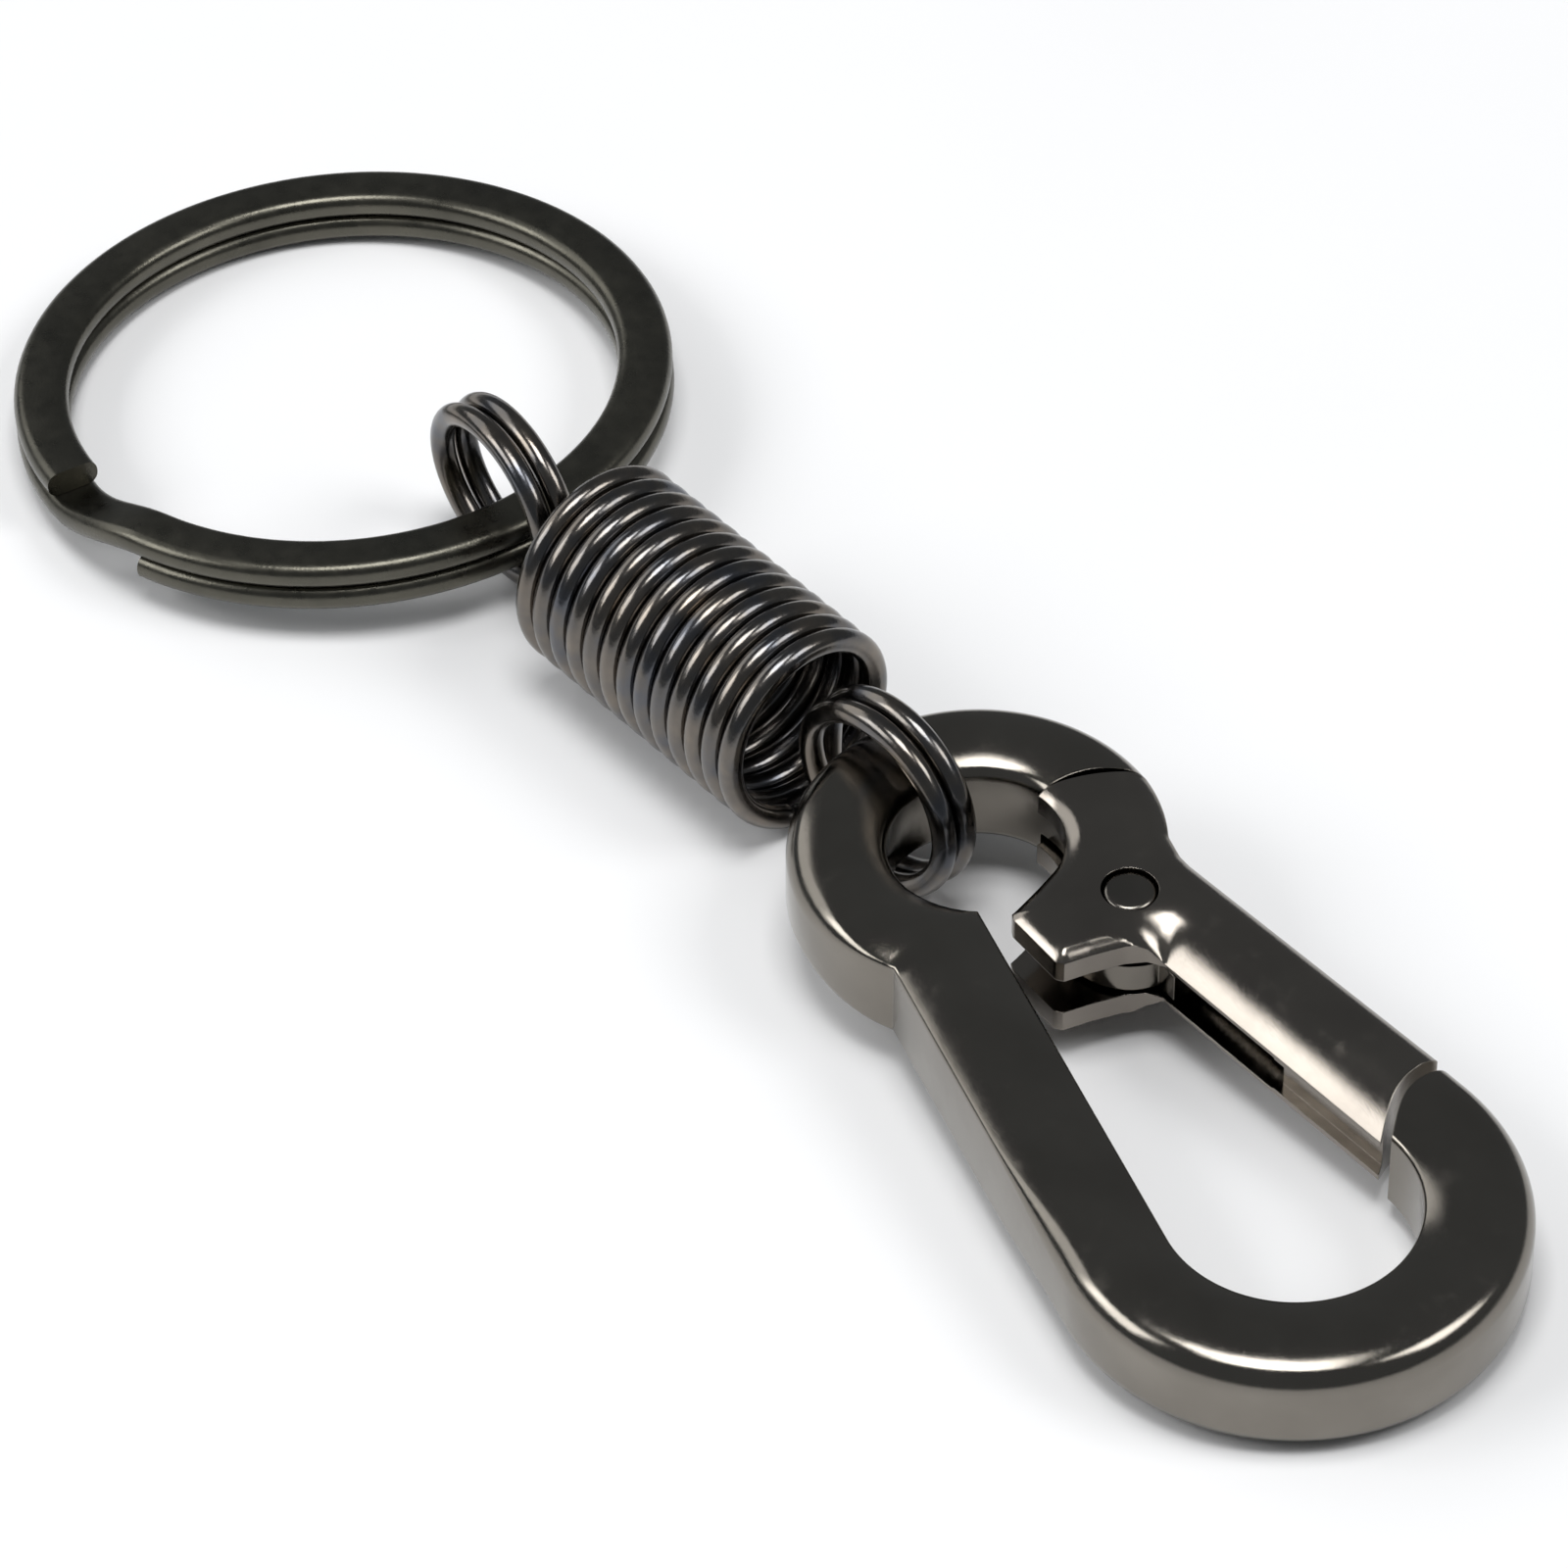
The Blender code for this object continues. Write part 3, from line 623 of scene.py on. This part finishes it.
def ring_mesh():
    """The split ring: the lower turn, the climb and the upper turn of one flat wire with rounded edges."""
    half, flat = RING_BAND / 2, RING_WIRE / 2
    middle = RING_RADIUS - half
    full = 4 * math.pi - RING_CLIMB
    climb_from = 2 * math.pi - RING_CLIMB
    corner_steps = 5
    section = []
    for centre_x, centre_z, start in ((1, -1, -90), (1, 1, 0), (-1, 1, 90), (-1, -1, 180)):
        centre = Vector((centre_x * (half - RING_EDGE), centre_z * (flat - RING_EDGE)))
        section += arc(centre, RING_EDGE, math.radians(start), math.radians(start + 90), corner_steps)
    rings = []
    steps = 340
    for k in range(steps + 1):
        turn = full * k / steps
        height = flat + RING_PITCH * ease((turn - climb_from) / RING_CLIMB)
        angle = RING_UPPER_END + RING_CLIMB + turn
        outward = Vector((math.cos(angle), math.sin(angle), 0))
        rings.append([outward * (middle + p.x) + Vector((0, 0, height + p.y)) for p in section])
    return mesh_from("split_ring_wire", *skin(rings))


# ---------------------------------------------------------------- poses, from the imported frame


def joint(name):
    return next(entry for entry in frame["joints"] if entry["name"] == name)


def hook_pose():
    """From the hook's plan, scaled to metres, to the row frame, by way of the gate's pivot."""
    pivot = joint("gate_pivot")
    up = Vector(pivot["axis"]).normalized()
    ahead = Vector((math.cos(HOOK_YAW), math.sin(HOOK_YAW), 0))
    ahead = (ahead - up * ahead.dot(up)).normalized()
    turn = Matrix((ahead, up.cross(ahead), up)).transposed()
    place = Vector(pivot["pos_m"]) - turn @ (Vector((RIVET.x, RIVET.y, 0)) * MM)
    return Matrix.Translation(place) @ turn.to_4x4()


def middle_of(node):
    low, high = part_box(node)
    return (low + high) / 2


def spring_pose():
    ahead = -Vector(joint("spring_stretch")["axis"])
    middle = middle_of("spring_coil")
    place = Vector((middle.x, middle.y, SPRING_RADIUS * MM))
    return Matrix.Translation(place) @ Matrix.Rotation(math.atan2(ahead.y, ahead.x), 4, "Z")


def ring_pose():
    middle = middle_of("split_ring")
    rise = RING_RADIUS * MM * math.sin(RING_TILT)
    return Matrix.Translation((middle.x, middle.y, rise)) @ Matrix.Rotation(-RING_TILT, 4, "Y")


# ---------------------------------------------------------------- materials


POLISH_ANGLE = math.radians(34)  # of drawn-out noise in the row frame


class Finish:
    """A small helper for building one procedural material, metal unless told otherwise."""

    def __init__(self, name):
        self.material = bpy.data.materials.new(name)
        self.material.use_nodes = True
        self.tree = self.material.node_tree
        self.shader = self.tree.nodes["Principled BSDF"]
        self.shader.inputs["Metallic"].default_value = 1.0
        self.place = self.tree.nodes.new("ShaderNodeTexCoord").outputs["Object"]

    def link(self, source, target):
        self.tree.links.new(source, target)

    def noise(self, size, detail=2.0, stretch=None):
        """Noise whose features are about this long, in millimetres, drawn out along one axis if asked."""
        where = self.place
        if stretch:
            mapping = self.tree.nodes.new("ShaderNodeMapping")
            mapping.inputs["Scale"].default_value = stretch
            mapping.inputs["Rotation"].default_value = (0, 0, POLISH_ANGLE)
            self.link(where, mapping.inputs["Vector"])
            where = mapping.outputs["Vector"]
        node = self.tree.nodes.new("ShaderNodeTexNoise")
        node.inputs["Scale"].default_value = 1 / (size * MM)
        node.inputs["Detail"].default_value = detail
        self.link(where, node.inputs["Vector"])
        return node.outputs["Fac"]

    def spread(self, source, low, high, start=0.3, end=0.7):
        """The source mapped so that start gives low and end gives high."""
        node = self.tree.nodes.new("ShaderNodeMapRange")
        node.inputs["From Min"].default_value = start
        node.inputs["From Max"].default_value = end
        node.inputs["To Min"].default_value = low
        node.inputs["To Max"].default_value = high
        self.link(source, node.inputs["Value"])
        return node.outputs["Result"]

    def ramp(self, source, stops):
        """A colour for each value of the source, from stops of place and colour."""
        node = self.tree.nodes.new("ShaderNodeValToRGB")
        entries = node.color_ramp.elements
        while len(entries) < len(stops):
            entries.new(0.5)
        for entry, (place, colour) in zip(entries, stops):
            entry.position = place
            entry.color = (*colour, 1.0)
        self.link(source, node.inputs["Fac"])
        return node.outputs["Color"]

    def bump(self, source, height, edge=None, before=None):
        """Relief of this height in millimetres; edge rounds sharp corners over that many millimetres."""
        node = self.tree.nodes.new("ShaderNodeBump")
        node.inputs["Distance"].default_value = height * MM
        self.link(source, node.inputs["Height"])
        if edge:
            soft = self.tree.nodes.new("ShaderNodeBevel")
            soft.samples = 6
            soft.inputs["Radius"].default_value = edge * MM
            before = soft.outputs["Normal"]
        if before:
            self.link(before, node.inputs["Normal"])
        return node.outputs["Normal"]

    def done(self, colour, roughness, normal):
        self.link(colour, self.shader.inputs["Base Color"])
        self.link(roughness, self.shader.inputs["Roughness"])
        self.link(normal, self.shader.inputs["Normal"])
        return self.material


def black_nickel(name, dark, light, roughness, edge):
    """Polished black-nickel plating: clouded tint, faint polishing lines, a slight ripple, worn patches."""
    made = Finish(name)
    tint = made.ramp(made.noise(5.0, 4), [(0.3, dark), (0.7, light)])
    worn = made.spread(made.noise(1.6, 6), 0.0, 1.0, 0.58, 0.74)
    smudge = made.spread(made.noise(3.2, 5), roughness, roughness + 0.07)
    rough = made.tree.nodes.new("ShaderNodeMath")
    rough.operation = "MULTIPLY_ADD"
    rough.inputs[1].default_value = 0.08  # how much rougher a worn patch is
    made.link(worn, rough.inputs[0])
    made.link(smudge, rough.inputs[2])
    lines = made.bump(made.noise(0.5, 3, stretch=(1, 14, 14)), 0.004, edge=edge)
    ripple = made.bump(made.noise(2.6, 2), 0.02, before=lines)
    return made.done(tint, rough.outputs["Value"], ripple)


def simple_finish(name, colours, tint_noise, rough_noise, roughness, grain, relief, metallic=1.0):
    """A tint, a roughness and a grain that each follow their own noise, given as size and detail."""
    made = Finish(name)
    made.shader.inputs["Metallic"].default_value = metallic
    tint = made.ramp(made.noise(*tint_noise), colours)
    rough = made.spread(made.noise(*rough_noise), *roughness)
    return made.done(tint, rough, made.bump(made.noise(*grain), relief))


def drawn_wire(name):
    """Plated spring wire: warm and bluish tints and a fine grain."""
    colours = [(0.32, (0.185, 0.162, 0.138)), (0.5, (0.14, 0.13, 0.12)), (0.68, (0.108, 0.112, 0.124))]
    return simple_finish(name, colours, (2.4, 3), (0.8, 4), (0.14, 0.24), grain=(0.25, 4), relief=0.006)


def satin_wire(name):
    """The split ring's satin plating: slightly green-black, with rubbed patches."""
    colours = [(0.3, (0.085, 0.082, 0.068)), (0.7, (0.12, 0.114, 0.093))]
    return simple_finish(name, colours, (4.0, 5), (1.1, 5), (0.24, 0.36), grain=(0.18, 5), relief=0.01)


def spring_steel(name):
    """The return spring's bare bright steel."""
    colours = [(0.3, (0.42, 0.40, 0.37)), (0.7, (0.55, 0.53, 0.50))]
    return simple_finish(name, colours, (1.0, 3), (0.4, 4), (0.18, 0.34), grain=(0.15, 3), relief=0.004)


def floor_white(name):
    colours = [(0.3, (0.90, 0.90, 0.905)), (0.7, (0.915, 0.915, 0.92))]
    noises = {"tint_noise": (40.0, 2), "rough_noise": (25.0, 2), "grain": (1.5, 2)}
    return simple_finish(name, colours, roughness=(0.35, 0.45), relief=0.002, metallic=0.0, **noises)


# ---------------------------------------------------------------- stage


def softbox(name, azimuth, elevation, size, power):
    """A rectangular area light that faces the keyring; angles in degrees, lengths in metres."""
    light = bpy.data.lights.new(name, "AREA")
    light.shape = "RECTANGLE"
    light.size, light.size_y = size
    light.energy = power
    lamp = bpy.data.objects.new(name, light)
    bpy.context.collection.objects.link(lamp)
    place = direction(math.radians(azimuth), math.radians(elevation)) * LIGHT_DISTANCE
    lamp.location = place
    lamp.rotation_euler = (-place).to_track_quat("-Z", "Y").to_euler()


def build_stage():
    bm = bmesh.new()
    bmesh.ops.create_grid(bm, x_segments=8, y_segments=8, size=FLOOR_SIZE)
    sheet = bpy.data.meshes.new("floor")
    bm.to_mesh(sheet)
    bm.free()
    floor = bpy.data.objects.new("floor", sheet)
    bpy.context.collection.objects.link(floor)
    floor.location.z = -FLOOR_DROP
    sheet.materials.append(floor_white("floor_white"))

    world = bpy.data.worlds.new("studio")
    world.use_nodes = True
    background = world.node_tree.nodes["Background"]
    background.inputs["Color"].default_value = WORLD_COLOUR
    background.inputs["Strength"].default_value = WORLD_STRENGTH
    bpy.context.scene.world = world
    for box in SOFTBOXES:
        softbox(*box)


def build_camera():
    camera = bpy.data.objects.new("camera", bpy.data.cameras.new("camera"))
    bpy.context.collection.objects.link(camera)
    away = direction(CAMERA_AZIMUTH, CAMERA_ELEVATION)
    aim = (-away).to_track_quat("-Z", "Y").to_matrix().to_4x4()
    place = Matrix.Translation(CAMERA_AIM + away * CAMERA_DISTANCE)
    camera.matrix_world = place @ aim @ Matrix.Rotation(CAMERA_ROLL, 4, "Z")
    camera.data.lens = CAMERA_LENS
    camera.data.sensor_width = CAMERA_SENSOR
    camera.data.clip_start = CAMERA_CLIP_START
    bpy.context.scene.camera = camera


# ---------------------------------------------------------------- the keyring


def build_keyring():
    polished = black_nickel(
        "polished_black_nickel", (0.185, 0.17, 0.148), (0.22, 0.203, 0.178), roughness=0.07, edge=0.08
    )
    cast = black_nickel(
        "gate_black_nickel", (0.21, 0.19, 0.168), (0.25, 0.228, 0.20), roughness=0.08, edge=0.07
    )
    pin = black_nickel(
        "rivet_black_nickel", (0.15, 0.14, 0.125), (0.19, 0.175, 0.155), roughness=0.14, edge=0.06
    )
    wire = drawn_wire("drawn_spring_wire")
    satin = satin_wire("satin_ring_wire")
    steel = spring_steel("bright_spring_steel")
    hook, spring, ring = hook_pose(), spring_pose(), ring_pose()
    turned = spring @ Matrix.Rotation(math.pi, 4, "Z")
    front_loop = loop_mesh("front", FRONT_LOOP)
    rear_loop = loop_mesh("rear", REAR_LOOP)

    rigid = (
        ("hook_body", hook_mesh(), hook, polished, "hook_frame", "hook", "hook_metal"),
        ("gate_body", gate_mesh(), hook, cast, "gate", "gate", "gate_metal"),
        ("rivet_pin", rivet_mesh(), hook, pin, "rivet", "hook", "rivet_metal"),
        ("front_loop_wire", front_loop, spring, wire, "front_loop", "spring_front", "wire_metal"),
        ("rear_loop_wire", rear_loop, turned, wire, "rear_loop", "spring_rear", "wire_metal"),
        ("split_ring_wire", ring_mesh(), ring, satin, "split_ring", "ring", "ring_metal"),
    )
    for name, shape, pose, finish, node, body, slot in rigid:
        piece = add_piece(name, shape, pose, finish)
        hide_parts(node)
        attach(piece, body)

    coil = add_piece("spring_coil_wire", coil_mesh(), spring, wire)
    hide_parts("spring_coil")
    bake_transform(coil)

    hairpin = add_piece("gate_return_spring", hairpin_mesh(), hook, steel)
    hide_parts("gate_spring")
    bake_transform(hairpin)


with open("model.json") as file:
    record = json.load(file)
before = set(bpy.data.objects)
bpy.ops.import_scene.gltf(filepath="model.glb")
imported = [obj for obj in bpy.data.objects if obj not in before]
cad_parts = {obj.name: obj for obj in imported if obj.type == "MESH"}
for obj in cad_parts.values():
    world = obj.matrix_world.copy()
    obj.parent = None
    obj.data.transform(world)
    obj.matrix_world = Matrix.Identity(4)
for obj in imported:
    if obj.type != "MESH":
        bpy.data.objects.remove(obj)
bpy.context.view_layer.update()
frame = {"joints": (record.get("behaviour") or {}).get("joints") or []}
build_camera()
build_stage()
build_keyring()
bpy.context.scene.view_settings.view_transform = "Standard"
